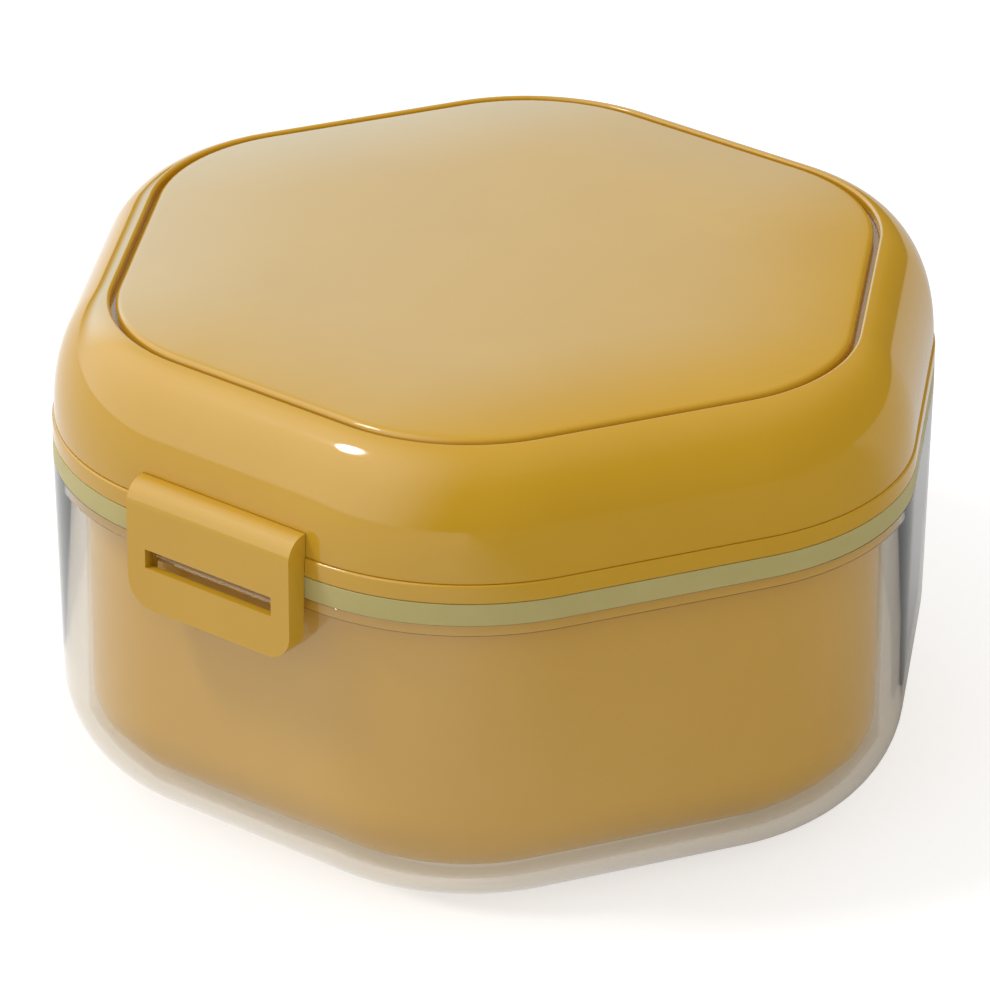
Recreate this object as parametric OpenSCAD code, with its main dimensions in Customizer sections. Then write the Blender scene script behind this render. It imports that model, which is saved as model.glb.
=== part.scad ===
// Six-sided two-layer denture soaking case: a clear bowl, a drain basket that hangs in it,
// a hinged domed lid with a silicone seal, and a swing clasp on the front side.
// Millimetres. +Z is up, the clasp faces -Y, the hinge is on +Y, and the origin is the
// centre of the face that the case stands on.

/* [Outline] */
// Distance from the centre to a flat side, measured at the seam of the lid
apothem = 45; // [42:0.5:50]
// Radius of the six upright corners at the same height
corner_r = 25.6; // [20:0.2:30]
// Number of straight steps in a quarter turn of a rounded profile
arc_steps = 10; // [6:1:16]

/* [Bowl] */
// Height of the clear bowl
bowl_h = 36; // [30:0.5:44]
// Wall thickness of the bowl
bowl_wall = 2.3; // [1.9:0.1:2.5]
// Floor thickness of the bowl
bowl_floor = 1.8; // [1.5:0.1:2.2]
// How far the bowl wall leans inwards for each millimetre down
bowl_slope = 0.018; // [0.01:0.002:0.03]
// Radius of the bowl's outer bottom edge
bowl_r = 11; // [8:0.5:12]
// Thickness of the thin lip above the ledge that carries the basket
lip_t = 1; // [0.8:0.1:1.2]
// Depth of that ledge below the rim
ledge_d = 1.5; // [1.3:0.1:2]

/* [Basket] */
// Wall thickness of the drain basket
basket_wall = 1.5; // [1.2:0.1:2]
// Floor thickness of the drain basket
basket_floor = 1.6; // [1.2:0.1:2]
// Space between the basket and the bowl wall at the ledge
basket_gap = 0.6; // [0.5:0.1:1.2]
// Space under the basket
basket_lift = 0.8; // [0.6:0.1:3]
// Radius of the basket's outer bottom edge
basket_r = 10; // [8:0.5:11]
// Thickness of the basket's hanging flange
flange_t = 1.3; // [1:0.1:1.4]
// Radius of one drain hole
drain_r = 2; // [1.2:0.1:2.5]
// Distance between neighbouring drain holes
drain_pitch = 10; // [8:0.5:11]
// Number of hexagonal rings of drain holes round the middle one
drain_rings = 2; // [1:1:2]

/* [Seal] */
// Height of the silicone ring that shows between the bowl and the lid
seal_h = 2.4; // [2:0.1:3]
// Radial width of the ring
seal_w = 5; // [4.6:0.1:6]
// Width of the tongue that holds the ring
tongue_w = 1; // [0.8:0.1:1.4]
// Depth of the tongue in the ring
tongue_d = 1.2; // [0.8:0.1:1.4]

/* [Lid] */
// Height of the lid frame's outer band
band_h = 2.1; // [1.8:0.1:3]
// Thickness of the plate that closes the lid from below
liner_t = 1.6; // [1.2:0.1:1.8]
// Height of the ring that centres the cover on the frame
spigot_h = 2.5; // [1.5:0.1:4]
// Wall thickness of that ring
spigot_t = 1.2; // [1:0.1:1.6]
// Rise of the domed cover from the seam to the edge of its recess
dome_h = 12.6; // [11:0.2:15]
// How far the foot of the cover stands back from the band
cover_step = 0.2; // [0.1:0.05:0.4]
// Wall thickness of the cover
cover_wall = 1.8; // [1.5:0.1:2.2]
// Number of straight steps in the dome's side
dome_steps = 14; // [10:1:20]
// Exponent of the dome's curve inwards
dome_in = 1.2; // [1:0.05:1.4]
// Exponent of the dome's curve upwards
dome_up = 0.86; // [0.8:0.02:1]
// Distance from the centre to a flat side of the recess in the cover
recess_ap = 38.7; // [36:0.1:40]
// Depth of the recess
recess_d = 1.2; // [1:0.1:1.6]
// Thickness of the top plate
plate_t = 1.35; // [1.2:0.05:1.8]
// Radius of the top plate's upper edge
plate_r = 0.7; // [0.5:0.1:1]
// Width of the groove round the top plate
plate_gap = 0.6; // [0.3:0.1:0.8]
// How far the top plate rises from that edge to its middle
plate_crown = 0.5; // [0.3:0.1:0.8]

/* [Clasp] */
// Width of the clasp
clasp_w = 21.2; // [19:0.2:24]
// How far the clasp reaches below the seam of the lid
clasp_drop = 11; // [10:0.2:13]
// Overall thickness of the clasp
clasp_t = 2.2; // [2:0.1:2.6]
// Thickness of the clasp's front skin
clasp_skin = 0.9; // [0.8:0.05:1]
// Width of the two side cheeks
cheek_w = 2; // [1.8:0.1:2.4]
// Radius of the clasp's rolled head
head_r = 2.4; // [2.3:0.05:2.6]
// Height of the clasp's pin above the seam of the lid
latch_rise = 0.3; // [0.2:0.05:0.5]
// Radius of the barrel ends that close the clasp's two cheeks
barrel_r = 1.85; // [1.7:0.05:1.9]
// Depth of the pocket under the clasp's head, measured from the seam
pocket_d = 0.6; // [0.5:0.1:0.8]
// Thickness of the cover's block behind that pocket
boss_t = 2.3; // [1.8:0.1:2.6]
// How far the block reaches past the clasp on each side
boss_side = 0.9; // [0.6:0.1:1.5]
// Radius of the clasp's two lower corners
clasp_corner_r = 3; // [2:0.2:4]
// Width of the window in the clasp
window_w = 16.5; // [14:0.1:16.8]
// Height of the window
window_h = 2.15; // [1.8:0.05:2.4]
// Height of the catch rib on the bowl
catch_h = 1.3; // [1:0.1:1.5]
// Distance from the bowl's rim down to the rib
catch_drop = 0.1; // [0.1:0.1:0.5]
// Height that the rib's upper and lower faces each lose towards its tip
catch_taper = 0.2; // [0.1:0.05:0.4]
// Radius of the clasp's pin
latch_pin_r = 0.5; // [0.4:0.05:0.55]
// Wall of the lug round that pin
latch_lug_wall = 0.7; // [0.6:0.05:0.7]
// How far the pin stops short of each side of the clasp
latch_pin_inset = 0.4; // [0.3:0.1:1]

/* [Hinge] */
// Outer radius of the hinge knuckles
knuckle_r = 2.2; // [2:0.1:2.6]
// Radius of the hinge pin
hinge_pin_r = 0.9; // [0.7:0.05:1]
// Length of the bowl's middle knuckle
knuckle_mid = 16; // [12:0.5:20]
// Length of each lid knuckle
knuckle_end = 6; // [4:0.5:8]
// How far the bowl's knuckle web reaches down from the rim
web_h = 5.7; // [5:0.1:7]
// How far the webs' inner corners lie before the hinge line
web_inset = 1.5; // [1.2:0.1:1.8]
// Angle round the barrel at which the webs run out
web_angle = 50; // [40:5:60]

/* [Clearances] */
// Radial play of a pin in the knuckle that turns on it
pin_play = 0.05; // [0.02:0.01:0.1]
// Space between parts that move past each other
run_gap = 0.3; // [0.25:0.05:0.4]
// Space between parts that are fitted together
fit_gap = 0.15; // [0.1:0.05:0.2]

/* [Hidden] */
$fn = 64;
mustard = [0.80, 0.64, 0.33];
overlap = 0.5;                              // depth by which a joined shape enters its base
corner_step = 0.05;                         // how far the rounded corners stand out
start_x = 1;                                // where the profile of a floor or plate starts
disc_lap = 3;                               // how far a floor's middle disc covers it
core_ap = apothem - corner_r;               // all outlines are offsets of this sharp hexagon
core_side = core_ap / cos(30);
seam_z = bowl_h + seal_h + band_h;          // where the cover meets the band
band_z = bowl_h + seal_h;
recess_x = recess_ap - core_ap;
basket_x = corner_r - bowl_wall - basket_gap;
latch_y = -(apothem + run_gap + clasp_t - head_r);
latch_z = seam_z + latch_rise;
clasp_front = latch_y - head_r;
clasp_back = clasp_front + clasp_t;
clasp_low = seam_z - clasp_drop;
skin_back = clasp_front + clasp_skin;
channel_w = clasp_w - 2 * cheek_w;
window_z = bowl_h - catch_drop - catch_h / 2;   // middle of the window and the catch rib
pocket_r = head_r + run_gap;
boss_w = clasp_w + 2 * boss_side;
latch_pin_l = clasp_w - 2 * latch_pin_inset;
lug_r = latch_pin_r + latch_lug_wall;
hinge_y = apothem + knuckle_r + run_gap;
hinge_z = bowl_h + seal_h / 2;
hinge_l = knuckle_mid + 2 * (knuckle_end + run_gap);

// Outlines that every part shares

function reversed(list) = [for (i = [len(list) - 1:-1:0]) list[i]];

// A quarter round of radius r about c, from pointing down to pointing outwards
function foot_arc(c, r) = [
    for (i = [0:arc_steps])
        c + r * [sin(90 * i / arc_steps), -cos(90 * i / arc_steps)]
];

// One side of a cup: floor, rounded bottom edge and leaning wall, as [outward, height]
function cup_side(top, low, slope, r) = concat(
    [[start_x, low]],
    foot_arc([top.x - (top.y - low - r) * slope - r, low + r], r),
    [top]
);

// The dome's side, from foot [outward, height] up to head [outward, height]
function dome_side(foot, head) = [
    for (i = [0:dome_steps])
        let (t = 90 * i / dome_steps)
        [head.x + (foot.x - head.x) * pow(cos(t), dome_in),
         foot.y + (head.y - foot.y) * pow(sin(t), dome_up)]
];

// Carries a profile [distance outside the core hexagon, height] round the case. The six
// corners stand out by a hair, and the flat sides run a little way into them, so that no
// two surfaces only touch. The corners can also be sunk.
module around(sink = 0) {
    for (i = [0:5])
        rotate([0, 0, 60 * i]) {
            translate([core_side, 0, 0])
                rotate([0, 0, -30])
                    rotate_extrude(angle = 60)
                        translate([corner_step, -sink])
                            children();
            rotate([0, 0, 30])
                translate([core_ap, core_side / 2 + overlap, 0])
                    rotate([90, 0, 0])
                        linear_extrude(core_side + 2 * overlap)
                            children();
        }
}

// The middle of a floor or plate: a disc that laps onto the flat part of those profiles
module core(low, high) {
    translate([0, 0, low])
        cylinder(r = core_side + disc_lap, h = high - low);
}

// Extrudes a [y, z] outline along X, centred
module across(length) {
    translate([-length / 2, 0, 0])
        rotate([90, 0, 90])
            linear_extrude(length)
                children();
}

module rod(r, length, y, z) {
    translate([-length / 2, y, z])
        rotate([0, 90, 0])
            cylinder(r = r, h = length);
}

// Bowl

module bowl_profile() {
    outer = cup_side([corner_r, bowl_h], 0, bowl_slope, bowl_r);
    inner = cup_side([corner_r - bowl_wall, bowl_h - ledge_d], bowl_floor, bowl_slope,
                     bowl_r - bowl_wall);
    lip = [[corner_r - lip_t, bowl_h], [corner_r - lip_t, bowl_h - ledge_d]];
    polygon(concat(outer, lip, reversed(inner)));
}

// The rib that the clasp's window snaps over
module catch_rib() {
    root_y = -(apothem - overlap);
    tip_y = skin_back + run_gap;
    half = catch_h / 2;
    across(channel_w - 2 * run_gap)
        polygon([[root_y, window_z - half], [tip_y, window_z - half + catch_taper],
                 [tip_y, window_z + half - catch_taper], [root_y, window_z + half]]);
}

module bowl_knuckle() {
    wall_y = apothem - lip_t + fit_gap;
    across(knuckle_mid)
        polygon([[wall_y, bowl_h - web_h], [wall_y, bowl_h - fit_gap],
                 [hinge_y - web_inset, bowl_h - fit_gap], [hinge_y, hinge_z],
                 [hinge_y + knuckle_r * cos(web_angle), hinge_z - knuckle_r * sin(web_angle)]]);
    rod(knuckle_r, knuckle_mid, hinge_y, hinge_z);
}

module outer_bowl() {
    color([0.93, 0.89, 0.82, 0.45])
        difference() {
            union() {
                around() bowl_profile();
                core(0, bowl_floor);
                catch_rib();
                bowl_knuckle();
            }
            rod(hinge_pin_r + pin_play, hinge_l, hinge_y, hinge_z);
        }
}

// Drain basket

module basket_profile() {
    ledge_z = bowl_h - ledge_d + corner_step;
    low = bowl_floor + basket_lift;
    flange_x = corner_r - lip_t - run_gap;
    outer = cup_side([basket_x, ledge_z], low, bowl_slope, basket_r);
    inner = cup_side([basket_x - basket_wall, ledge_z + flange_t], low + basket_floor,
                     bowl_slope, basket_r - basket_wall);
    flange = [[flange_x, ledge_z], [flange_x, ledge_z + flange_t]];
    polygon(concat(outer, flange, reversed(inner)));
}

module drain_holes() {
    low = bowl_floor + basket_lift;
    for (i = [-drain_rings:drain_rings], j = [-drain_rings:drain_rings])
        if (abs(i + j) <= drain_rings)
            translate([drain_pitch * (i + j / 2), drain_pitch * j * sin(60), low - overlap])
                cylinder(r = drain_r, h = basket_floor + 2 * overlap);
}

module drain_basket() {
    low = bowl_floor + basket_lift;
    color(mustard)
        difference() {
            union() {
                around(corner_step) basket_profile();
                core(low, low + basket_floor);
            }
            drain_holes();
        }
}

// Seal

module seal_ring() {
    middle = corner_r - seal_w / 2;
    groove = tongue_w / 2 + fit_gap;
    color([0.74, 0.75, 0.62])
        around()
            polygon([[corner_r - seal_w, bowl_h], [corner_r, bowl_h], [corner_r, band_z],
                     [middle + groove, band_z], [middle + groove, band_z - tongue_d - fit_gap],
                     [middle - groove, band_z - tongue_d - fit_gap], [middle - groove, band_z],
                     [corner_r - seal_w, band_z]]);
}

// Lid

// Room for the clasp's head: a round pocket above, and a smaller one for its end barrels
module clasp_pocket() {
    room = clasp_w + 2 * run_gap;
    deep = latch_rise + pocket_d;
    intersection() {
        rod(pocket_r, room, latch_y, latch_z);
        translate([-room / 2, latch_y - 2 * pocket_r, latch_z - deep])
            cube([room, 4 * pocket_r, 2 * pocket_r + deep]);
    }
    for (side = [-1, 1])
        translate([side * (room - cheek_w - 2 * run_gap) / 2, 0, 0])
            rod(barrel_r + run_gap, cheek_w + 2 * run_gap, latch_y, latch_z);
}

module latch_lug() {
    length = channel_w - 2 * run_gap;
    rod(lug_r, length, latch_y, latch_z);
    translate([-length / 2, -apothem, seam_z - band_h / 2])
        cube([length, latch_y + lug_r + apothem, band_h / 2 + latch_rise]);
}

module frame_profile() {
    spigot_x = corner_r - cover_step - cover_wall - fit_gap;
    tongue_x = corner_r - seal_w / 2;
    edge = fit_gap;
    polygon([[start_x, band_z], [tongue_x - tongue_w / 2, band_z],
             [tongue_x - tongue_w / 2, band_z - tongue_d],
             [tongue_x + tongue_w / 2, band_z - tongue_d], [tongue_x + tongue_w / 2, band_z],
             [corner_r, band_z], [corner_r, seam_z - edge], [corner_r - edge, seam_z],
             [spigot_x, seam_z], [spigot_x, seam_z + spigot_h],
             [spigot_x - spigot_t, seam_z + spigot_h], [spigot_x - spigot_t, band_z + liner_t],
             [start_x, band_z + liner_t]]);
}

module lid_knuckle() {
    across(knuckle_end)
        polygon([[apothem - overlap, band_z + fit_gap], [apothem - overlap, seam_z - fit_gap],
                 [hinge_y + knuckle_r * cos(web_angle), hinge_z + knuckle_r * sin(web_angle)],
                 [hinge_y, hinge_z], [hinge_y - web_inset, band_z + fit_gap]]);
    rod(knuckle_r, knuckle_end, hinge_y, hinge_z);
}

module lid_frame() {
    notch_w = boss_w + 2 * run_gap;
    notch_d = cover_step + cover_wall + boss_t + run_gap;
    color(mustard)
        difference() {
            union() {
                difference() {
                    union() {
                        around() frame_profile();
                        core(band_z, band_z + liner_t);
                    }
                    clasp_pocket();
                    translate([-notch_w / 2, -apothem, seam_z])
                        cube([notch_w, notch_d, spigot_h + overlap]);
                }
                latch_lug();
                for (side = [-1, 1])
                    translate([side * (hinge_l - knuckle_end) / 2, 0, 0])
                        lid_knuckle();
            }
            rod(latch_pin_r + pin_play, clasp_w, latch_y, latch_z);
            rod(hinge_pin_r, hinge_l + 2 * overlap, hinge_y, hinge_z);
        }
}

module cover_profile() {
    foot = [corner_r - cover_step, seam_z];
    head = [recess_x, seam_z + dome_h];
    floor_z = seam_z + dome_h - recess_d;
    outer = dome_side(foot, head);
    inner = dome_side(foot - [cover_wall, 0], [recess_x - cover_wall, floor_z - cover_wall]);
    recess = [[recess_x, floor_z], [start_x, floor_z], [start_x, floor_z - cover_wall]];
    polygon(concat(outer, recess, reversed(inner)));
}

module lid_cover() {
    floor_z = seam_z + dome_h - recess_d;
    boss_y = -apothem + cover_step + cover_wall - overlap;
    color(mustard)
        difference() {
            union() {
                around() cover_profile();
                core(floor_z - cover_wall, floor_z);
                translate([-boss_w / 2, boss_y, seam_z])
                    cube([boss_w, boss_t, pocket_r + boss_t]);
            }
            clasp_pocket();
        }
}

module top_plate() {
    low = seam_z + dome_h - recess_d;
    top = low + plate_t;
    edge_x = recess_x - plate_gap;
    flat_x = edge_x - plate_r;
    crown = [
        for (i = [0:arc_steps - 1])
            let (t = i / arc_steps)
            [disc_lap + t * (flat_x - disc_lap), top + plate_crown * (1 - t * t)]
    ];
    upper_edge = [
        for (p = foot_arc([0, 0], plate_r))
            [flat_x + p.x, top - plate_r - p.y]
    ];
    color(mustard) {
        around()
            polygon(concat([[start_x, top + plate_crown]], crown, upper_edge,
                           [[edge_x, low], [start_x, low]]));
        core(low, top + plate_crown);
    }
}

// Clasp

module clasp_outline() {
    r = clasp_corner_r;
    half = clasp_w / 2;
    translate([-half, clasp_low + r])
        square([clasp_w, latch_z - clasp_low - r]);
    translate([-half + r, clasp_low])
        square([clasp_w - 2 * r, r]);
    for (side = [-1, 1])
        translate([side * (half - r), clasp_low + r])
            circle(r);
}

module clasp() {
    color(mustard)
        difference() {
            union() {
                translate([0, clasp_back, 0])
                    rotate([90, 0, 0])
                        linear_extrude(clasp_t)
                            clasp_outline();
                rod(barrel_r, clasp_w, latch_y, latch_z);
                intersection() {
                    rod(head_r, clasp_w, latch_y, latch_z);
                    translate([-clasp_w / 2, clasp_front, latch_z])
                        cube([clasp_w, head_r + fit_gap, head_r]);
                }
            }
            translate([-channel_w / 2, skin_back, clasp_low - overlap])
                cube([channel_w, 2 * head_r, latch_z - clasp_low + overlap]);
            rod(head_r - clasp_skin, channel_w, latch_y, latch_z);
            translate([-channel_w / 2, latch_y + fit_gap, latch_z - overlap])
                cube([channel_w, 2 * head_r, 2 * head_r]);
            translate([-window_w / 2, clasp_front - overlap, window_z - window_h / 2])
                cube([window_w, clasp_t, window_h]);
            rod(latch_pin_r, latch_pin_l, latch_y, latch_z);
        }
}

module clasp_pin() {
    color([0.75, 0.76, 0.78])
        rod(latch_pin_r, latch_pin_l, latch_y, latch_z);
}

module hinge_pin() {
    color([0.75, 0.76, 0.78])
        rod(hinge_pin_r, hinge_l, hinge_y, hinge_z);
}

outer_bowl();
drain_basket();
seal_ring();
lid_frame();
lid_cover();
top_plate();
clasp();
clasp_pin();
hinge_pin();
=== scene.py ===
import math
import bmesh
import bpy
import numpy as np
from mathutils import Matrix, Vector


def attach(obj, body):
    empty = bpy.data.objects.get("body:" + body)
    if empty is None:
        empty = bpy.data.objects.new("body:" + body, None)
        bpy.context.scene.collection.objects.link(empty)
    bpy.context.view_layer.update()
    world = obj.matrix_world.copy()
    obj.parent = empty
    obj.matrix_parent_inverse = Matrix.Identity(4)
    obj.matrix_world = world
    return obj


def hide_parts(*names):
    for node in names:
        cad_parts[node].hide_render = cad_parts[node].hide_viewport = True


# Denture case: clear six-sided bowl, mustard drain basket in it, silicone seal, domed mustard
# lid on a back hinge, and a swing clasp on the front. Shapes are worked out in millimetres.

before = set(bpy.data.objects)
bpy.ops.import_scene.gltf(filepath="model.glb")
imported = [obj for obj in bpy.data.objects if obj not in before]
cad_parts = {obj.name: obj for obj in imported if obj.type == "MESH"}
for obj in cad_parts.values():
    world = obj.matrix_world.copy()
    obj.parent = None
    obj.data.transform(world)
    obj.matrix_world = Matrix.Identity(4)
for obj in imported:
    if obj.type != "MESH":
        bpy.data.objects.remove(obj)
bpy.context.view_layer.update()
millimetre = 0.001

case = {
    "apothem": 45.0,        # middle to a flat side at the lid's seam
    "cornerRadius": 25.6,   # upright corners, seen from above
    "bowlTop": 36.0,
    "sealTop": 38.4,
    "seam": 40.5,           # where the dome meets the band
    "cornerSteps": 24,      # mesh steps round one corner
    "flatSteps": 10,        # mesh steps along one flat side
    "runGap": 0.3,          # between pieces that move
    "fitGap": 0.15,         # between pieces that fit together
    "boreGap": 0.05,        # round a pin in its bore
    "sink": 0.5,            # how far a joined part or a cutter reaches into its neighbour
    "capEdge": 1.0,         # outside the core; flat faces close a profile inside it
    "barHole": 0.01,        # radius at which flat faces close a bar's ends
}
outerEdge = case["cornerRadius"]
coreApothem = case["apothem"] - outerEdge
mergeWithin = 1e-5          # points nearer than this are made one


# Corners of a polyline of [x, z, radius] rows made round: the arc's middle lies on the corner's
# bisector, radius / sin(half angle) away, and its points turn evenly from one side to the other.
def rounded(rows, closed=False, stepAngle=0.14):
    rows = np.asarray(rows, float)
    corner, radius = rows[:, :2], rows[:, 2]
    before, after = np.roll(corner, 1, 0) - corner, np.roll(corner, -1, 0) - corner
    before /= np.linalg.norm(before, axis=1)[:, None]
    after /= np.linalg.norm(after, axis=1)[:, None]
    line = []
    for k in range(len(rows)):
        if radius[k] == 0 or (not closed and k in (0, len(rows) - 1)):
            line.append(corner[k:k + 1])
            continue
        half = math.acos(np.clip(before[k] @ after[k], -1, 1)) / 2
        bisector = (before[k] + after[k]) / np.linalg.norm(before[k] + after[k])
        middle = corner[k] + bisector * radius[k] / math.sin(half)
        reach = radius[k] / math.tan(half)
        start, end = corner[k] + before[k] * reach - middle, corner[k] + after[k] * reach - middle
        turn = math.pi - 2 * half
        part = np.linspace(0, 1, max(2, math.ceil(turn / stepAngle)) + 1)[:, None]
        line.append(middle + (np.sin((1 - part) * turn) * start + np.sin(part * turn) * end) / math.sin(turn))
    return np.concatenate(line)


# Outline of the case as base points and directions. The base walks the sharp core hexagon and the
# direction turns 60 degrees at each of its corners; distance d outside it is base + d * direction.
def caseOutline():
    corner = np.arange(6)
    spoke = np.radians(60 * corner)[:, None]
    turn = np.radians(np.linspace(-30, 30, case["cornerSteps"] + 1))[None]
    tip = coreApothem / math.cos(math.radians(30)) * np.stack([np.cos(spoke), np.sin(spoke)], -1)
    cornerWay = np.stack([np.cos(spoke + turn), np.sin(spoke + turn)], -1)
    share = (np.arange(1, case["flatSteps"]) / case["flatSteps"])[None, :, None]
    flatBase = tip * (1 - share) + np.roll(tip, -1, 0) * share
    flatWay = np.repeat(cornerWay[:, -1:], share.shape[1], 1)
    base = np.concatenate([np.repeat(tip, turn.shape[1], 1), flatBase], 1).reshape(-1, 2)
    way = np.concatenate([cornerWay, flatWay], 1).reshape(-1, 2)
    return base, way


# Quads of a grid of rows by columns points; the last row or column can join on to the first
def gridFaces(rows, columns, joinRows, joinColumns):
    i = np.arange(rows if joinRows else rows - 1)[:, None]
    j = np.arange(columns if joinColumns else columns - 1)[None]
    iNext, jNext = (i + 1) % rows, (j + 1) % columns
    quads = [i * columns + j, i * columns + jNext, iNext * columns + jNext, iNext * columns + j]
    return np.stack(np.broadcast_arrays(*quads), -1).reshape(-1, 4).tolist()


# An object from points in millimetres, with its faces turned outwards
def solid(name, points, faces):
    mesh = bpy.data.meshes.new(name)
    mesh.from_pydata(np.asarray(points, float).tolist(), [], faces)
    work = bmesh.new()
    work.from_mesh(mesh)
    bmesh.ops.remove_doubles(work, verts=work.verts, dist=mergeWithin)
    bmesh.ops.recalc_face_normals(work, faces=work.faces)
    work.to_mesh(mesh)
    work.free()
    piece = bpy.data.objects.new(name, mesh)
    bpy.context.scene.collection.objects.link(piece)
    return piece


# A profile of [distance outside the core, height] carried round the case's outline. An open
# profile's two ends are closed with one flat face each.
def sweepRound(name, profile, closed=False):
    base, way = caseOutline()
    rows, columns = len(profile), len(base)
    flat = base[None] + profile[:, None, :1] * way[None]
    height = np.broadcast_to(profile[:, None, 1:], (rows, columns, 1))
    faces = gridFaces(rows, columns, closed, True)
    if not closed:
        faces += [list(range(columns)), list(range((rows - 1) * columns, rows * columns))]
    return solid(name, np.concatenate([flat, height], -1).reshape(-1, 3), faces)


# A profile of [along, radius] turned about an axis through middle; axis 0 runs along X, 2 along Z
def turned(name, profile, middle, axis=0, steps=48):
    profile = np.asarray(profile, float)
    angle = np.linspace(0, 2 * math.pi, steps, endpoint=False)[None]
    along, radius = profile[:, :1], profile[:, 1:]
    shape = [np.broadcast_to(along, (len(profile), steps)), radius * np.cos(angle), radius * np.sin(angle)]
    points = np.stack(shape if axis == 0 else [shape[1], shape[2], shape[0]], -1).reshape(-1, 3)
    faces = gridFaces(len(profile), steps, False, True)
    faces += [list(range(steps)), list(range((len(profile) - 1) * steps, len(profile) * steps))]
    return solid(name, points + np.asarray(middle, float), faces)


# A closed outline of [u, v] points drawn out along axis 0 (X, outline in YZ) or 1 (Y, outline in XZ)
def drawnOut(name, outline, low, high, axis=0):
    outline = np.asarray(outline, float)
    count = len(outline)
    level = np.repeat([low, high], count)[:, None]
    both = np.tile(outline, (2, 1))
    points = np.concatenate([level, both] if axis == 0 else [both[:, :1], level, both[:, 1:]], -1)
    faces = gridFaces(2, count, False, True) + [list(range(count)), list(range(count, 2 * count))]
    return solid(name, points, faces)


# Modifiers worked into the piece's own mesh
def settle(piece):
    view = bpy.context.evaluated_depsgraph_get()
    mesh = bpy.data.meshes.new_from_object(piece.evaluated_get(view))
    piece.modifiers.clear()
    piece.data = mesh


# Joins tools on to a piece or cuts them out of it
def combine(piece, operation, *tools):
    for tool in tools:
        step = piece.modifiers.new("combine", "BOOLEAN")
        step.operation, step.solver, step.object = operation, "EXACT", tool
        settle(piece)
        bpy.data.objects.remove(tool)
    return piece


# Rounds every edge sharper than an angle
def softenEdges(piece, width, steps=3, angle=35):
    step = piece.modifiers.new("soften", "BEVEL")
    step.width, step.segments, step.limit_method = width, steps, "ANGLE"
    step.angle_limit, step.harden_normals = math.radians(angle), False
    settle(piece)
    return piece


# Scale to metres, smooth shading with sharp edges past an angle, material, body, node and slot
def dress(piece, material, body, node, sharp=32):
    mesh = piece.data
    mesh.transform(Matrix.Scale(millimetre, 4))
    mesh.polygons.foreach_set("use_smooth", np.ones(len(mesh.polygons), bool))
    mesh.set_sharp_from_angle(angle=math.radians(sharp))
    mesh.materials.clear()
    mesh.materials.append(material)
    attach(piece, body)
    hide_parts(node)
    print(piece.name, len(mesh.polygons), "faces")
    return piece


# A material with its node tree, its shader and the piece's own coordinates
def newFinish(name):
    material = bpy.data.materials.new(name)
    material.use_nodes = True
    tree = material.node_tree
    shader = tree.nodes["Principled BSDF"]
    place = tree.nodes.new("ShaderNodeTexCoord").outputs["Object"]
    return material, tree, shader, place


# Sets sockets by name; an underscore stands for a space
def setSockets(node, **values):
    for name, value in values.items():
        node.inputs[name.replace("_", " ")].default_value = value


noise = {"roughness": 0.55, "low": 0.3, "high": 0.7}     # the part of the noise that is spread out


# A noise that runs between two ends of a range; size is the width of one blotch in millimetres
def blotches(tree, place, size, low=0, high=1, detail=3, stretch=(1, 1, 1)):
    mapping = tree.nodes.new("ShaderNodeMapping")
    mapping.inputs["Scale"].default_value = stretch
    cloud = tree.nodes.new("ShaderNodeTexNoise")
    setSockets(cloud, Scale=1 / (size * millimetre), Detail=detail, Roughness=noise["roughness"])
    spread = tree.nodes.new("ShaderNodeMapRange")
    setSockets(spread, From_Min=noise["low"], From_Max=noise["high"], To_Min=low, To_Max=high)
    tree.links.new(place, mapping.inputs["Vector"])
    tree.links.new(mapping.outputs["Vector"], cloud.inputs["Vector"])
    tree.links.new(cloud.outputs["Fac"], spread.inputs["Value"])
    return spread.outputs["Result"]


# A colour between two fixed ones, by share
def blend(tree, share, first, second):
    mix = tree.nodes.new("ShaderNodeMix")
    mix.data_type = "RGBA"
    mix.inputs["A"].default_value = (*first, 1)
    mix.inputs["B"].default_value = (*second, 1)
    tree.links.new(share, mix.inputs["Factor"])
    return mix.outputs["Result"]


# The larger of two values
def larger(tree, first, second):
    node = tree.nodes.new("ShaderNodeMath")
    node.operation = "MAXIMUM"
    tree.links.new(first, node.inputs[0])
    tree.links.new(second, node.inputs[1])
    return node.outputs["Value"]


# Stacks bumps given as (height output, depth in millimetres) into the shader's normal
def stackBumps(tree, shader, layers):
    normal = None
    for height, depth in layers:
        bump = tree.nodes.new("ShaderNodeBump")
        setSockets(bump, Strength=1.0, Distance=depth * millimetre)
        tree.links.new(height, bump.inputs["Height"])
        if normal:
            tree.links.new(normal, bump.inputs["Normal"])
        normal = bump.outputs["Normal"]
    tree.links.new(normal, shader.inputs["Normal"])


# Finishes: linear colours, roughness from shiniest to dullest, and widths and depths of marks in
# millimetres. A mark is (width, depth, detail of its noise).
mustard = {
    "pale": (0.610, 0.343, 0.022),
    "deep": (0.590, 0.326, 0.018),
    "gloss": (0.065, 0.095),
    "toneWidth": 14, "glossWidth": 5, "glossDetail": 5,
    "peel": (3.5, 0.0012, 1),          # faint waviness
    "grain": (0.5, 0.0002, 2),
    "scuffs": (1.6, 0.0002, 2),
    "scuffStretch": (1, 9, 1),
    "bending": 1.5,
}
tub = {
    **mustard,
    "pale": (0.760, 0.484, 0.068),
    "deep": (0.740, 0.464, 0.060),
    "gloss": (0.16, 0.22),
}


# One layer for stackBumps from a mark
def markLayer(tree, place, mark, stretch=(1, 1, 1)):
    width, depth, detail = mark
    return blotches(tree, place, width, detail=detail, stretch=stretch), depth


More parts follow.
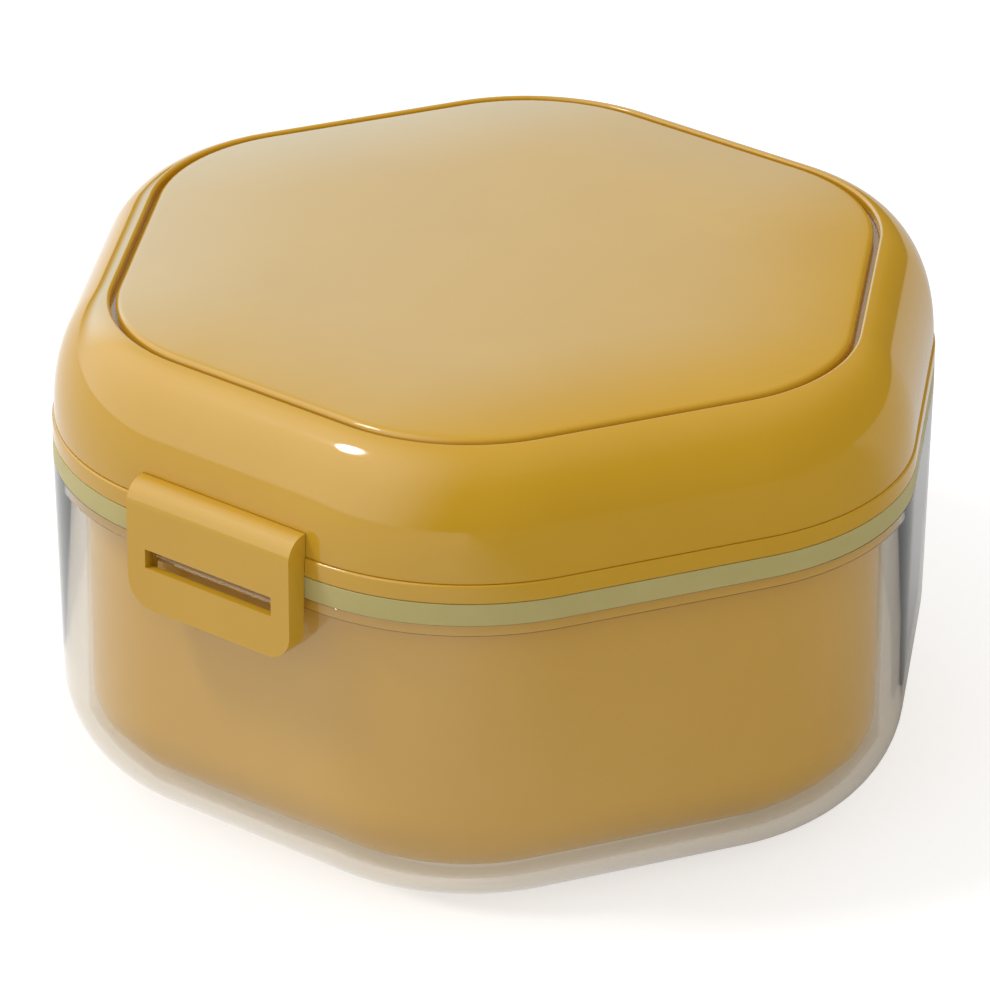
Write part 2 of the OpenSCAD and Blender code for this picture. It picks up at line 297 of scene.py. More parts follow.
# Glossy moulded plastic: two near tones, uneven gloss, a faint orange peel and fine scuffs
def glossyFinish(name, values):
    material, tree, shader, place = newFinish(name)
    tone = blend(tree, blotches(tree, place, values["toneWidth"]), values["deep"], values["pale"])
    gloss = blotches(tree, place, values["glossWidth"], *values["gloss"], values["glossDetail"])
    tree.links.new(tone, shader.inputs["Base Color"])
    tree.links.new(gloss, shader.inputs["Roughness"])
    stackBumps(tree, shader, [
        markLayer(tree, place, values["peel"]),
        markLayer(tree, place, values["grain"]),
        markLayer(tree, place, values["scuffs"], values["scuffStretch"]),
    ])
    setSockets(shader, IOR=values["bending"])
    return material


clear = {
    "tint": (0.87, 0.785, 0.65),
    "gloss": (0.005, 0.02),
    "glossWidth": 9,
    "flow": (9, 0.003, 1),             # flow marks of the moulding
    "flowStretch": (1, 1, 0.4),
    "shade": (0.97, 0.955, 0.93),      # what lamps keep of their light on the way through
    "bending": 1.49,
}


# Clear moulded plastic: bends light, with a faint haze and flow marks; lamps shine through it
def clearFinish(name, values):
    material, tree, shader, place = newFinish(name)
    setSockets(shader, Base_Color=(*values["tint"], 1), Transmission_Weight=1.0, IOR=values["bending"])
    tree.links.new(blotches(tree, place, values["glossWidth"], *values["gloss"]), shader.inputs["Roughness"])
    stackBumps(tree, shader, [markLayer(tree, place, values["flow"], values["flowStretch"])])
    through = tree.nodes.new("ShaderNodeBsdfTransparent")
    through.inputs["Color"].default_value = (*values["shade"], 1)
    path = tree.nodes.new("ShaderNodeLightPath")
    mix = tree.nodes.new("ShaderNodeMixShader")
    light = larger(tree, path.outputs["Is Shadow Ray"], path.outputs["Is Diffuse Ray"])
    tree.links.new(light, mix.inputs["Fac"])
    tree.links.new(shader.outputs["BSDF"], mix.inputs[1])
    tree.links.new(through.outputs["BSDF"], mix.inputs[2])
    tree.links.new(mix.outputs["Shader"], tree.nodes["Material Output"].inputs["Surface"])
    return material


silicone = {
    "pale": (0.515, 0.442, 0.172),
    "deep": (0.480, 0.406, 0.150),
    "gloss": (0.38, 0.5),
    "toneWidth": 8, "glossWidth": 3, "glossDetail": 4,
    "grain": (0.25, 0.003, 3),
    "lint": (3, 0.01, 1),
    "bending": 1.41,
    "softness": 0.15, "softDepth": 0.002,     # share of light that goes in, and how far in metres
}


# Satin silicone: soft, a little light goes into it, fine grain and a dusting of lint
def siliconeFinish(name, values):
    material, tree, shader, place = newFinish(name)
    tone = blend(tree, blotches(tree, place, values["toneWidth"]), values["deep"], values["pale"])
    gloss = blotches(tree, place, values["glossWidth"], *values["gloss"], values["glossDetail"])
    tree.links.new(tone, shader.inputs["Base Color"])
    tree.links.new(gloss, shader.inputs["Roughness"])
    stackBumps(tree, shader, [markLayer(tree, place, values[mark]) for mark in ("grain", "lint")])
    setSockets(shader, IOR=values["bending"], Subsurface_Weight=values["softness"],
               Subsurface_Scale=values["softDepth"])
    return material


steel = {
    "tone": (0.60, 0.60, 0.59),
    "gloss": (0.2, 0.34),
    "glossWidth": 1, "glossStretch": (0.1, 1, 1),
    "lines": (0.08, 0.002, 2), "lineStretch": (0.03, 1, 1),
}


# Drawn steel wire: fine lines along X
def steelFinish(name, values):
    material, tree, shader, place = newFinish(name)
    setSockets(shader, Base_Color=(*values["tone"], 1), Metallic=1.0)
    gloss = blotches(tree, place, values["glossWidth"], *values["gloss"], stretch=values["glossStretch"])
    tree.links.new(gloss, shader.inputs["Roughness"])
    stackBumps(tree, shader, [markLayer(tree, place, values["lines"], values["lineStretch"])])
    return material


lidGloss = glossyFinish("mustardLid", mustard)
tubGloss = glossyFinish("mustardTub", tub)
clearPlastic = clearFinish("clearPlastic", clear)
sealSilicone = siliconeFinish("sealSilicone", silicone)
pinSteel = steelFinish("pinSteel", steel)
print("finishes made")

hinge = {
    "y": 47.5, "z": 37.2,
    "radius": 2.2, "pinRadius": 0.9, "pinRim": 0.2, "pinSides": 32,
    "middleLength": 16.0, "endLength": 6.0,
    "webHeight": 5.7, "webInset": 1.5, "webAngle": math.radians(50),
}
latch = {
    "y": -45.1, "z": 40.8,       # the clasp's pin
    "headRadius": 2.4, "pinRadius": 0.5, "lugRadius": 1.2,
    "width": 21.2, "low": 29.5, "thickness": 2.2, "skin": 0.9, "cheek": 2.0,
    "cornerRadius": 3.0,
    "windowWidth": 16.5, "windowHeight": 2.15, "windowZ": 35.25,
    "catchHeight": 1.3, "catchTaper": 0.2,
    "pocketGap": 0.06,           # round the head, so that no black line shows
    "pocketDepth": 0.9, "pocketSteps": 40, "barrelRadius": 1.85,
    "barrelEdge": 0.05, "roomEdge": 0.02,
    "bossSide": 0.9, "bossThickness": 2.3,
    "pinShort": 0.8,             # the pin is this much shorter than the clasp is wide
    "pinRim": 0.1, "pinSides": 24,
}
latch["front"] = latch["y"] - latch["headRadius"]
latch["back"] = latch["front"] + latch["thickness"]
latch["skinBack"] = latch["front"] + latch["skin"]
latch["channel"] = latch["width"] - 2 * latch["cheek"]


# Straight round bar along X with rounded rims
def bar(name, radius, length, y, z, rim=0.15, steps=48):
    half, hole = length / 2, case["barHole"]
    profile = rounded([[-half, hole, 0], [-half, radius, rim], [half, radius, rim], [half, hole, 0]])
    return turned(name, profile, (0, y, z), steps=steps)


# Part of a circle as [y, z] points, from one angle to another in degrees
def arc(y, z, radius, start, end, steps=20):
    angle = np.radians(np.linspace(start, end, steps + 1))
    return np.stack([y + radius * np.cos(angle), z + radius * np.sin(angle)], -1)


bowl = {
    "wall": 2.3, "floor": 1.8, "slope": 0.018,
    "footRadius": 11.0, "rim": 0.05,
    "lip": 1.0, "ledge": 1.5, "ledgeEdge": 0.02,
    "footRing": 0.35,          # the middle of the underside stands up by this
    "ringFoot": 10.6, "ringHead": 10.0, "ringEdges": (0.3, 0.5),
    "stepAngle": 0.1,
}


# Bowl wall as one closed section: floor, rounded foot and leaning wall inside and out, with the
# ledge for the basket's flange; then the middle hinge knuckle and the catch rib are joined on.
def makeBowl():
    top, inner = case["bowlTop"], outerEdge - bowl["wall"]
    ledgeZ = top - bowl["ledge"]
    profile = rounded([
        [case["capEdge"], bowl["floor"], 0],
        [inner - (ledgeZ - bowl["floor"]) * bowl["slope"], bowl["floor"], bowl["footRadius"] - bowl["wall"]],
        [inner, ledgeZ, bowl["ledgeEdge"]],
        [outerEdge - bowl["lip"], ledgeZ, bowl["ledgeEdge"]],
        [outerEdge - bowl["lip"], top, bowl["rim"]],
        [outerEdge, top, bowl["rim"]],
        [outerEdge - top * bowl["slope"], 0, bowl["footRadius"]],
        [bowl["ringFoot"], 0, bowl["ringEdges"][0]],
        [bowl["ringHead"], bowl["footRing"], bowl["ringEdges"][1]],
        [case["capEdge"], bowl["footRing"], 0],
    ], stepAngle=bowl["stepAngle"])
    shell = sweepRound("bowlShell", profile)
    wallY = case["apothem"] - bowl["lip"] + case["fitGap"]
    radius, y, z = hinge["radius"], hinge["y"], hinge["z"]
    web = np.array([
        [wallY, top - hinge["webHeight"]], [wallY, top - case["fitGap"]],
        [y - hinge["webInset"], top - case["fitGap"]], [y, z],
        [y + radius * math.cos(hinge["webAngle"]), z - radius * math.sin(hinge["webAngle"])],
    ])
    half = hinge["middleLength"] / 2
    knuckle = combine(drawnOut("web", web, -half, half), "UNION", bar("barrel", radius, 2 * half, y, z))
    mid, high, tip = latch["windowZ"], latch["catchHeight"] / 2, latch["skinBack"] + case["runGap"]
    rootY, reach = -case["apothem"] + case["sink"], latch["channel"] / 2 - case["runGap"]
    rib = drawnOut("rib", [
        [rootY, mid - high], [tip, mid - high + latch["catchTaper"]],
        [tip, mid + high - latch["catchTaper"]], [rootY, mid + high],
    ], -reach, reach)
    combine(shell, "UNION", knuckle, rib)
    combine(shell, "DIFFERENCE", bar("bore", hinge["pinRadius"] + case["boreGap"], 3 * half, y, z))
    return dress(shell, clearPlastic, "bowl", "outer_bowl")


basket = {
    "wall": 1.5, "floor": 1.6, "gap": 0.6, "lift": 0.8,
    "footRadius": 10.0, "flange": 1.3, "flangeEdge": 0.02, "flangeGap": 0.03,
    "rimEdge": 0.5, "stepAngle": 0.12,
    "holeRadius": 2.0, "holePitch": 10.0, "holeRings": 2, "holeFlare": 0.5,
    "holeSteps": 12, "holeSides": 32,
    "holeReach": 1.02,       # the cutter's length over the floor's thickness
    "flareFrom": 0.38,       # where the hole starts to widen, from its middle to its mouth
}


# Basket wall as one closed section with a hanging flange. The drain holes stand on a hexagonal
# grid. Each cutter's radius grows by flare * (1 - sqrt(1 - bend^2)), where bend runs from 0 to 1
# near both ends, so that the holes get rounded edges.
def makeBasket():
    ledgeZ = case["bowlTop"] - bowl["ledge"] + basket["flangeGap"]
    low = bowl["floor"] + basket["lift"]
    outer = outerEdge - bowl["wall"] - basket["gap"]
    top = ledgeZ + basket["flange"]
    slope, floorZ = bowl["slope"], low + basket["floor"]
    flange = outerEdge - bowl["lip"] - basket["flangeGap"]
    profile = rounded([
        [case["capEdge"], floorZ, 0],
        [outer - basket["wall"] - (top - floorZ) * slope, floorZ, basket["footRadius"] - basket["wall"]],
        [outer - basket["wall"], top, basket["rimEdge"]],
        [flange, top, basket["flangeEdge"]],
        [flange, ledgeZ, basket["flangeEdge"]],
        [outer, ledgeZ, basket["flangeEdge"]],
        [outer - (ledgeZ - low) * slope, low, basket["footRadius"]],
        [case["capEdge"], low, 0],
    ], stepAngle=basket["stepAngle"])
    shell = sweepRound("drainBasket", profile)
    rings, pitch, flare = basket["holeRings"], basket["holePitch"], basket["holeFlare"]
    radius, middle = basket["holeRadius"], low + basket["floor"] / 2
    reach, start = np.linspace(-1, 1, basket["holeSteps"] + 1) * basket["holeReach"], basket["flareFrom"]
    bend = np.clip(np.abs(reach) - start, 0, 1 - start) / (1 - start)
    side = np.stack([reach * basket["floor"] / 2, radius + flare * (1 - np.sqrt(1 - bend ** 2))], -1)
    for i in range(-rings, rings + 1):
        for j in range(-rings, rings + 1):
            if abs(i + j) <= rings:
                spot = (pitch * (i + j / 2), pitch * j * math.sin(math.radians(60)), middle)
                cutter = turned("hole", side, spot, axis=2, steps=basket["holeSides"])
                combine(shell, "DIFFERENCE", cutter)
    return dress(shell, tubGloss, "bowl", "drain_basket")


seal = {
    "width": 5.0, "edge": 0.35, "rimEdge": 0.06,
    "tongueWidth": 1.0, "tongueDepth": 1.2, "grooveEdge": 0.1,
}


# Silicone ring with soft outer edges and the groove that holds it on the lid's tongue
def makeSeal():
    low, high = case["bowlTop"], case["sealTop"]
    inner, middle = outerEdge - seal["width"], outerEdge - seal["width"] / 2
    groove, depth = seal["tongueWidth"] / 2 + case["fitGap"], seal["tongueDepth"] + case["fitGap"]
    edge = seal["grooveEdge"]
    profile = rounded([
        [inner, low, seal["edge"]], [outerEdge, low, seal["rimEdge"]], [outerEdge, high, seal["rimEdge"]],
        [middle + groove, high, edge], [middle + groove, high - depth, edge],
        [middle - groove, high - depth, edge], [middle - groove, high, edge], [inner, high, seal["edge"]],
    ], closed=True)
    ring = sweepRound("sealRing", profile, closed=True)
    return dress(ring, sealSilicone, "lid", "seal_ring")


# Room for the clasp's head: a round pocket cut off below, a hair wider than the head, which
# turns in it about its own middle
def headPocket():
    gap = latch["pocketGap"]
    half = latch["width"] / 2 + gap
    radius, low = latch["headRadius"] + gap, latch["z"] - latch["pocketDepth"]
    fall = math.degrees(math.asin((latch["z"] - low) / radius))
    outline = arc(latch["y"], latch["z"], radius, -fall, 180 + fall, latch["pocketSteps"])
    pocket = drawnOut("pocket", outline, -half, half)
    length = latch["cheek"] + 2 * gap
    for side in (-1, 1):
        end = bar("room", latch["barrelRadius"] + gap, length, latch["y"], latch["z"], rim=latch["roomEdge"])
        end.data.transform(Matrix.Translation((side * (half - length / 2), 0, 0)))
        combine(pocket, "UNION", end)
    return pocket


band = {
    "edge": 0.25, "liner": 1.6, "linerEdge": 0.3,
    "spigot": 2.5, "spigotWall": 1.2, "spigotFoot": 0.1, "spigotEdge": 0.2,
    "tongueFoot": 0.08, "tongueEdge": 0.15,
    "coverStep": 0.2, "coverWall": 1.8,
    "blockDepth": 1.05, "blockHeight": 1.35,      # what carries the clasp's lug, from the seam down
    "boreLength": 40,
}


# Lid frame: the band that shows, the plate that closes the lid from below with its tongue for the
# seal, and the ring inside the dome; the lugs and knuckles of clasp and hinge are joined on.
def makeBand():
    low, seam = case["sealTop"], case["seam"]
    linerZ, spigotZ = low + band["liner"], seam + band["spigot"]
    tongue, half, tip = outerEdge - seal["width"] / 2, seal["tongueWidth"] / 2, low - seal["tongueDepth"]
    spigot = outerEdge - band["coverStep"] - band["coverWall"] - case["fitGap"]
    profile = rounded([
        [case["capEdge"], low, 0],
        [tongue - half, low, band["tongueFoot"]], [tongue - half, tip, band["tongueEdge"]],
        [tongue + half, tip, band["tongueEdge"]], [tongue + half, low, band["tongueFoot"]],
        [outerEdge, low, band["edge"]], [outerEdge, seam, band["edge"]],
        [spigot, seam, band["spigotFoot"]], [spigot, spigotZ, band["spigotEdge"]],
        [spigot - band["spigotWall"], spigotZ, band["spigotEdge"]],
        [spigot - band["spigotWall"], linerZ, band["linerEdge"]],
        [case["capEdge"], linerZ, 0],
    ])
    shell = sweepRound("lidBand", profile)
    boss = latch["width"] / 2 + latch["bossSide"] + case["runGap"]
    outerY, roomZ = -case["apothem"], spigotZ + case["sink"]
    innerY = outerY + band["coverStep"] + band["coverWall"] + latch["bossThickness"] + case["runGap"]
    room = [[outerY, seam], [innerY, seam], [innerY, roomZ], [outerY, roomZ]]
    combine(shell, "DIFFERENCE", headPocket(), drawnOut("room", room, -boss, boss))
    length = latch["channel"] - 2 * case["runGap"]
    blockZ, topY = seam - band["blockDepth"], latch["y"] + latch["lugRadius"]
    blockTop = blockZ + band["blockHeight"]
    block = [[outerY, blockZ], [topY, blockZ], [topY, blockTop], [outerY, blockTop]]
    lug = bar("lug", latch["lugRadius"], length, latch["y"], latch["z"])
    combine(shell, "UNION", lug, drawnOut("block", block, -length / 2, length / 2))
    radius, y, z = hinge["radius"], hinge["y"], hinge["z"]
    edgeY = case["apothem"] - case["sink"]
    web = np.array([
        [edgeY, low + case["fitGap"]], [edgeY, seam - case["fitGap"]],
        [y + radius * math.cos(hinge["webAngle"]), z + radius * math.sin(hinge["webAngle"])],
        [y, z], [y - hinge["webInset"], low + case["fitGap"]],
    ])
    for side in (-1, 1):
        middle = side * (hinge["middleLength"] / 2 + case["runGap"] + hinge["endLength"] / 2)
        reach = hinge["endLength"] / 2
        knuckle = drawnOut("web", web, middle - reach, middle + reach)
        barrel = bar("barrel", radius, 2 * reach, y, z)
        barrel.data.transform(Matrix.Translation((middle, 0, 0)))
        combine(knuckle, "UNION", barrel)
        combine(shell, "UNION", knuckle)
    combine(shell, "DIFFERENCE", bar("bore", hinge["pinRadius"], band["boreLength"], y, z),
            bar("bore", latch["pinRadius"] + case["boreGap"], latch["width"], latch["y"], latch["z"]))
    return dress(shell, lidGloss, "lid", "lid_frame")


dome = {
    "height": 12.6, "wall": 1.8, "into": 1.2, "up": 0.86,
    "recess": 38.7, "recessDepth": 1.2, "recessEdge": 0.1,
    "toe": 0.2, "toeEdge": 0.2,              # upright start above the seam, and its lower edge
    "crest": 0.35, "crestRun": 1.2, "crestFall": 0.03, "crestCut": 0.15,
    "steps": 44, "innerSteps": 24,
}


# Side of the dome from foot to head: x falls with cos(t)^into and z climbs with sin(t)^up
def domeSide(foot, head, steps):
    t = np.linspace(0, math.pi / 2, steps + 1)[:, None]
    x = head[0] + (foot[0] - head[0]) * np.cos(t) ** dome["into"]
    z = foot[1] + (head[1] - foot[1]) * np.sin(t) ** dome["up"]
    return np.concatenate([x, z], -1)


# Domed cover: outer and inner dome sides with the recess for the top plate between them
def makeDome():
    seam, wall = case["seam"], dome["wall"]
    edge = dome["recess"] - coreApothem
    top = seam + dome["height"]
    floorZ = top - dome["recessDepth"]
    foot = outerEdge - band["coverStep"]
    outer = domeSide((foot, seam + dome["toe"]), (edge, top), dome["steps"])[:-1]
    inner = domeSide((foot - wall, seam), (edge - wall, floorZ - wall), dome["innerSteps"])[:-1]
    crest = rounded([
        [edge + dome["crestRun"], top - dome["crestFall"], 0], [edge, top, dome["crest"]],
        [edge, floorZ, dome["recessEdge"]], [case["capEdge"], floorZ, 0],
    ])
    outer = outer[outer[:, 0] > crest[1, 0] + dome["crestCut"]]
    toe = rounded([[outer[1, 0], outer[1, 1], 0], [foot, seam, dome["toeEdge"]], [foot - wall, seam, 0]])
    start = [[case["capEdge"], floorZ - wall]]
    profile = np.concatenate([start, inner[::-1], toe[1:-1][::-1], outer[1:], crest[1:]])
    shell = sweepRound("lidDome", profile)
    boss, thick = latch["width"] / 2 + latch["bossSide"], latch["bossThickness"]
    y = -case["apothem"] + band["coverStep"] + wall - case["sink"]
    high = seam + latch["headRadius"] + case["runGap"] + thick
    block = [[y, seam], [y + thick, seam], [y + thick, high], [y, high]]
    combine(shell, "UNION", drawnOut("boss", block, -boss, boss))
    combine(shell, "DIFFERENCE", headPocket())
    return dress(shell, lidGloss, "lid", "lid_cover")


plate = {
    "thickness": 1.35, "gap": 0.6,
    "crown": 0.5, "crownPower": 2.5, "flat": 1.0, "steps": 24,
    "edge": 0.7, "edgeRun": 2.0, "footEdge": 0.1, "stepAngle": 0.09,
}


# Top plate set in the dome's recess. It is crowned: past its flat middle it falls by
# crown * s^crownPower, where s runs from 0 to 1 at the start of the rounded rim, which goes on
# at the slope reached there.
def makePlate():
    low = case["seam"] + dome["height"] - dome["recessDepth"]
    top, rim = low + plate["thickness"], dome["recess"] - coreApothem - plate["gap"]
    s = np.linspace(0, 1, plate["steps"], endpoint=False)
    reach = rim - plate["edge"] - plate["flat"]
    power, edge, run = plate["crownPower"], plate["edge"], plate["edgeRun"]
    crown = np.stack([plate["flat"] + s * reach, top + plate["crown"] * (1 - s ** power)], -1)
    slope = power * plate["crown"] / reach
    side = rounded([
        [rim - run, top + run * slope - edge * slope, 0], [rim, top - edge * slope, edge],
        [rim, low, plate["footEdge"]], [plate["flat"], low, 0],
    ], stepAngle=plate["stepAngle"])
    profile = np.concatenate([crown, side[1:]])
    return dress(sweepRound("topPlate", profile), lidGloss, "lid", "top_plate")


clasp = {
    "edge": 0.35, "windowCorner": 0.1,
    "rollEnd": 75, "rollSteps": 24,      # angle at which the rolled head ends, inside its pocket
    "top": 60, "topEdge": 0.5,           # upper end of the front outline, above the clasp
    "reach": 5, "cut": 1,                # how far the cutters go past the clasp
}


# Clasp: a side section with the rolled head is drawn across the width, cut to the front outline
# with its two round lower corners, and hollowed from behind, which leaves a skin and two cheeks.
def makeClasp():
    half, low, corner = latch["width"] / 2, latch["low"], latch["cornerRadius"]
    y, z, head = latch["y"], latch["z"], latch["headRadius"]
    front, back = latch["front"], latch["back"]
    past, cut, top, topEdge = clasp["reach"], clasp["cut"], clasp["top"], clasp["topEdge"]
    section = np.concatenate([
        [[back, low], [front, low]],
        arc(y, z, head, 180, clasp["rollEnd"], clasp["rollSteps"]),
        [[y + case["fitGap"], z]],
    ])
    body = drawnOut("claspPlate", section, -half, half)
    corners = [[-half, low, corner], [half, low, corner], [half, top, topEdge], [-half, top, topEdge]]
    outline = rounded(corners, closed=True)
    combine(body, "INTERSECT", drawnOut("outline", outline, front - past, back + past, axis=1))
    combine(body, "UNION", bar("barrel", latch["barrelRadius"], 2 * half, y, z, latch["barrelEdge"]))
    reach = latch["channel"] / 2
    hollow = [[latch["skinBack"], low - cut], [past + y, low - cut], [past + y, z], [latch["skinBack"], z]]
    end = math.radians(clasp["rollEnd"])
    upper = [[y, z - case["sink"]], [y + past, z - case["sink"]], [y + past, z + past],
             [y + past * math.cos(end), z + past * math.sin(end)], [y, z]]
    combine(body, "DIFFERENCE", drawnOut("hollow", hollow, -reach, reach),
            bar("roll", head - latch["skin"], 2 * reach, y, z, rim=latch["roomEdge"]),
            drawnOut("upper", upper, -reach, reach))
    wide, high, middle = latch["windowWidth"] / 2, latch["windowHeight"] / 2, latch["windowZ"]
    window = rounded([
        [u * wide, middle + v * high, clasp["windowCorner"]]
        for u, v in ((-1, -1), (1, -1), (1, 1), (-1, 1))
    ], closed=True)
    combine(body, "DIFFERENCE", drawnOut("window", window, front - cut, back + case["sink"], axis=1))
    softenEdges(body, clasp["edge"])
    return dress(body, lidGloss, "latch", "clasp")


# The two steel pins as plain bars with rounded rims
def makePins():
    length = latch["width"] - latch["pinShort"]
    pin = bar("claspPin", latch["pinRadius"], length, latch["y"], latch["z"],
              latch["pinRim"], latch["pinSides"])
    dress(pin, pinSteel, "latch", "clasp_pin")
    length = hinge["middleLength"] + 2 * (hinge["endLength"] + case["runGap"])
    pin = bar("hingePin", hinge["pinRadius"], length, hinge["y"], hinge["z"],
              hinge["pinRim"], hinge["pinSides"])
    dress(pin, pinSteel, "lid", "hinge_pin")


makeBowl()
makeBasket()
makeSeal()
makeBand()
makeDome()
makePlate()
makeClasp()
makePins()
print("pieces made")

studio = {
    "floorTone": 0.60,
    "floorGlow": 0.55,          # brings the floor to white for the camera
    "glossTone": 0.28,          # the floor in reflections
    "glossGlow": (0.0, 0.86),   # its glow there, on the right and on the left
    "glossBehind": 0.38,        # and behind the case
    "glassTone": 0.34,          # the floor seen through the bowl
    "glassGlow": (0.30, 0.52),
    "glassBehind": 0.52,
    "leftWay": (-0.79, -0.61),  # the left side in the floor's plane, and the way behind
    "behindWay": (-0.61, 0.79),
    "leftFade": (-0.06, 0.03),  # metres along each way between which its glow comes up
    "behindFade": (-0.015, 0.045),
    "floorSize": 3000.0,
    "fill": 0.80,               # light from all round
    "shade": 0.06,              # what gloss sees where none of the soft boxes stands
}

# Soft boxes that show in gloss and glass alone: azimuth from the front (-Y) towards +X, elevation,
# the angles at which each is full and has faded out, its light, and the elevations between which
# its foot fades in
softBoxes = {
    "left": {
        "azimuth": -45, "elevation": 20, "full": 28, "gone": 75,
        "light": (2.3, 2.35, 2.4), "foot": (-90, -80),
    },
    "above": {
        "azimuth": -100, "elevation": 75, "full": 20, "gone": 75,
        "light": (0.6, 0.6, 0.6), "foot": (-90, -80),
    },
    "behind": {
        "azimuth": -122, "elevation": 12, "full": 12, "gone": 32,
        "light": (0.8, 1.8, 2.6), "foot": (2, 15),
    },
}


# Whether a ray is of a kind, 0 or 1
def rayShare(tree, kind):
    return tree.nodes.new("ShaderNodeLightPath").outputs[kind]


# Moves a value smoothly from one range to another
def remap(tree, value, fromLow, fromHigh, toLow, toHigh):
    node = tree.nodes.new("ShaderNodeMapRange")
    node.interpolation_type = "SMOOTHSTEP"
    setSockets(node, From_Min=fromLow, From_Max=fromHigh, To_Min=toLow, To_Max=toHigh)
    tree.links.new(value, node.inputs["Value"])
    return node.outputs["Result"]


# A value between two, by share; a plain number goes on to the socket itself
def mixValues(tree, share, first, second):
    node = tree.nodes.new("ShaderNodeMix")
    for value, socket in ((share, "Factor"), (first, "A"), (second, "B")):
        if isinstance(value, float):
            node.inputs[socket].default_value = value
        else:
            tree.links.new(value, node.inputs[socket])
    return node.outputs["Result"]


# Plain pale floor that shows white and keeps the object's shadow. Reflections and the bowl's plastic
# see it darker, with a glow on the left side and behind the case.
def makeFloor():
    size = studio["floorSize"]
    corners = [[-size, -size, 0], [size, -size, 0], [size, size, 0], [-size, size, 0]]
    floor = solid("floor", corners, [[0, 1, 2, 3]])
    floor.data.transform(Matrix.Scale(millimetre, 4))
    material = bpy.data.materials.new("paleFloor")
    material.use_nodes = True
    tree = material.node_tree
    tree.nodes.remove(tree.nodes["Principled BSDF"])
    diffuse = tree.nodes.new("ShaderNodeBsdfDiffuse")
    lit = tree.nodes.new("ShaderNodeEmission")
    place = tree.nodes.new("ShaderNodeTexCoord").outputs["Object"]
    along = {}
    for side in ("left", "behind"):
        dot = tree.nodes.new("ShaderNodeVectorMath")
        dot.operation = "DOT_PRODUCT"
        dot.inputs[1].default_value = (*studio[side + "Way"], 0)
        tree.links.new(place, dot.inputs[0])
        along[side] = dot.outputs["Value"]
    tone, glow = studio["floorTone"], 0.0     # glass comes last, because its rays count as glossy too
    for name, kind in (("gloss", "Is Glossy Ray"), ("glass", "Is Transmission Ray")):
        share = rayShare(tree, kind)
        tone = mixValues(tree, share, tone, studio[name + "Tone"])
        left = remap(tree, along["left"], *studio["leftFade"], *studio[name + "Glow"])
        behind = remap(tree, along["behind"], *studio["behindFade"], 0, studio[name + "Behind"])
        glow = mixValues(tree, share, glow, larger(tree, left, behind))
    glow = mixValues(tree, rayShare(tree, "Is Camera Ray"), glow, studio["floorGlow"])
    tree.links.new(tone, diffuse.inputs["Color"])
    tree.links.new(glow, lit.inputs["Strength"])
    both = tree.nodes.new("ShaderNodeAddShader")
    tree.links.new(diffuse.outputs["BSDF"], both.inputs[0])
    tree.links.new(lit.outputs["Emission"], both.inputs[1])
    tree.links.new(both.outputs["Shader"], tree.nodes["Material Output"].inputs["Surface"])
    floor.data.materials.append(material)


# Unit vector towards an azimuth from the front (-Y) towards +X and an elevation, in degrees
def towards(azimuth, elevation):
    a, e = math.radians(azimuth), math.radians(elevation)
    return Vector((math.sin(a) * math.cos(e), -math.cos(a) * math.cos(e), math.sin(e)))


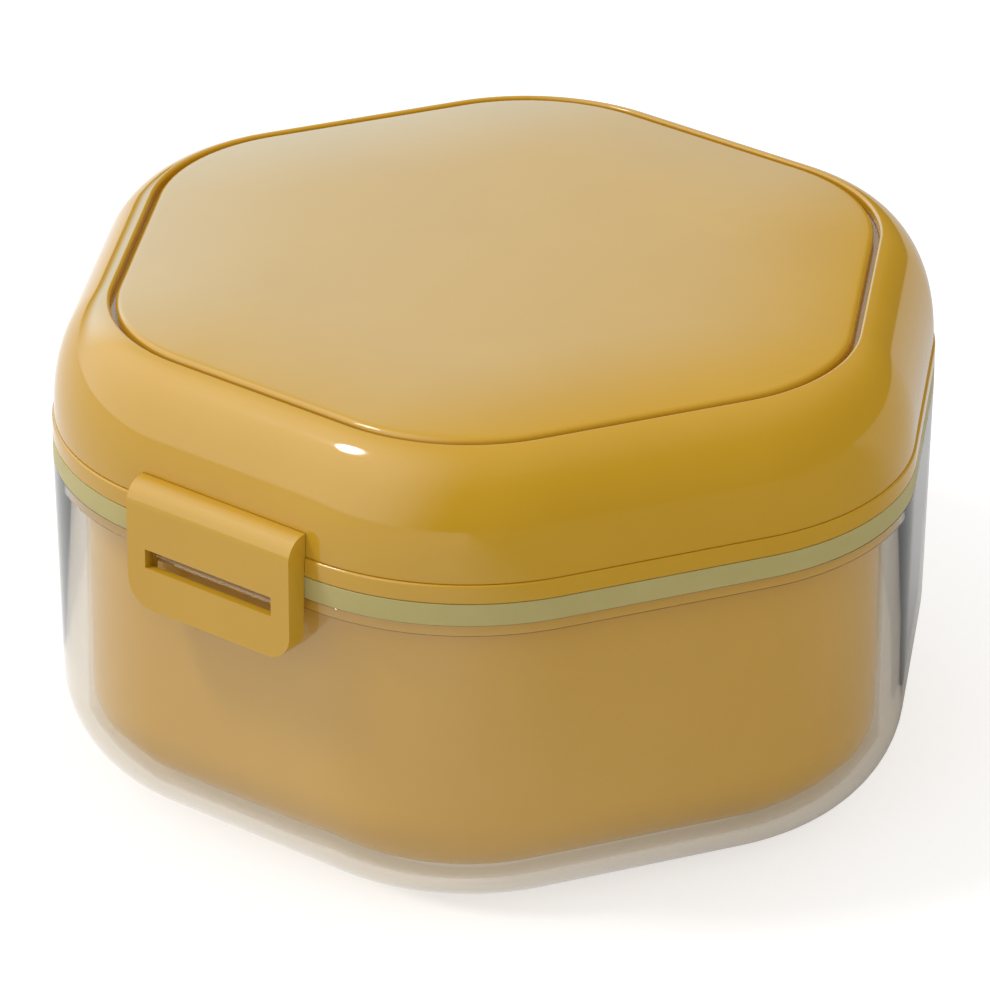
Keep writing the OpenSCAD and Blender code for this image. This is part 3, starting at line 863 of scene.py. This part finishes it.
# Even fill for the surfaces, and white for the camera. Gloss and glass see the soft boxes, each a
# smooth spot on the sky: full within one angle of its middle and gone past another.
def makeWorld():
    world = bpy.data.worlds.new("studio")
    bpy.context.scene.world = world
    world.use_nodes = True
    tree = world.node_tree
    way = tree.nodes.new("ShaderNodeTexCoord").outputs["Generated"]

    # One vector node; a plain vector goes on to the socket itself
    def vectorMath(operation, first, second):
        node = tree.nodes.new("ShaderNodeVectorMath")
        node.operation = operation
        tree.links.new(first, node.inputs[0])
        if isinstance(second, tuple):
            node.inputs[1].default_value = second
        else:
            tree.links.new(second, node.inputs["Scale"] if operation == "SCALE" else node.inputs[1])
        return node.outputs["Value"] if operation == "DOT_PRODUCT" else node.outputs["Vector"]

    # An even grey as a colour
    def grey(level):
        colour = tree.nodes.new("ShaderNodeCombineXYZ")
        for axis in "XYZ":
            colour.inputs[axis].default_value = level
        return colour.outputs["Vector"]

    boxes = None
    for values in softBoxes.values():
        along = vectorMath("DOT_PRODUCT", way, tuple(towards(values["azimuth"], values["elevation"])))
        gone, full = (math.cos(math.radians(values[key])) for key in ("gone", "full"))
        light = tree.nodes.new("ShaderNodeRGB")
        light.outputs["Color"].default_value = (*values["light"], 1)
        spot = vectorMath("SCALE", light.outputs["Color"], remap(tree, along, gone, full, 0, 1))
        low, high = (math.sin(math.radians(angle)) for angle in values["foot"])
        upward = vectorMath("DOT_PRODUCT", way, (0, 0, 1))
        spot = vectorMath("SCALE", spot, remap(tree, upward, low, high, 0, 1))
        boxes = vectorMath("ADD", boxes, spot) if boxes else spot

    # A colour between two outputs, by share
    def pick(share, first, second):
        mix = tree.nodes.new("ShaderNodeMix")
        mix.data_type = "RGBA"
        for value, socket in ((share, "Factor"), (first, "A"), (second, "B")):
            tree.links.new(value, mix.inputs[socket])
        return mix.outputs["Result"]

    seen = pick(rayShare(tree, "Is Glossy Ray"), grey(studio["fill"]),
                vectorMath("ADD", boxes, (studio["shade"],) * 3))
    seen = pick(rayShare(tree, "Is Camera Ray"), seen, grey(1.0))
    tree.links.new(seen, tree.nodes["Background"].inputs["Color"])


# Radiance is what a mirror would show of the lamp
keyLamp = {
    "azimuth": -44, "elevation": 52, "distance": 0.9, "aim": (0, 0, 0.03),
    "size": 0.17, "radiance": 34.0,
}


# A round area lamp; its power is radiance * pi * area
def makeLamp(name, values):
    lamp = bpy.data.lights.new(name, "AREA")
    lamp.shape, lamp.size = "DISK", values["size"]
    lamp.energy = values["radiance"] * math.pi * math.pi * (values["size"] / 2) ** 2
    holder = bpy.data.objects.new(name, lamp)
    bpy.context.scene.collection.objects.link(holder)
    back = towards(values["azimuth"], values["elevation"])
    holder.location = Vector(values["aim"]) + back * values["distance"]
    holder.rotation_euler = back.to_track_quat("Z", "Y").to_euler()
    holder.visible_camera = False


camera = {
    "azimuth": 37.885, "elevation": 27.747, "roll": 0.181,
    "distance": 0.7027, "target": (0.00077, -0.0015, 0.02646),
    "lens": 241.5, "sensor": 36, "clipStart": 0.05,
}


# Camera that looks at its target from an azimuth and an elevation, turned a little about its axis
def makeCamera():
    data = bpy.data.cameras.new("camera")
    data.lens, data.sensor_width, data.clip_start = camera["lens"], camera["sensor"], camera["clipStart"]
    holder = bpy.data.objects.new("camera", data)
    bpy.context.scene.collection.objects.link(holder)
    back = towards(camera["azimuth"], camera["elevation"])
    holder.location = Vector(camera["target"]) + back * camera["distance"]
    turn = back.to_track_quat("Z", "Y").to_matrix() @ Matrix.Rotation(math.radians(camera["roll"]), 3, "Z")
    holder.rotation_euler = turn.to_euler()
    bpy.context.scene.camera = holder


makeFloor()
makeWorld()
makeLamp("keyLamp", keyLamp)
makeCamera()
bpy.context.scene.view_settings.view_transform = "Standard"
print("studio made")
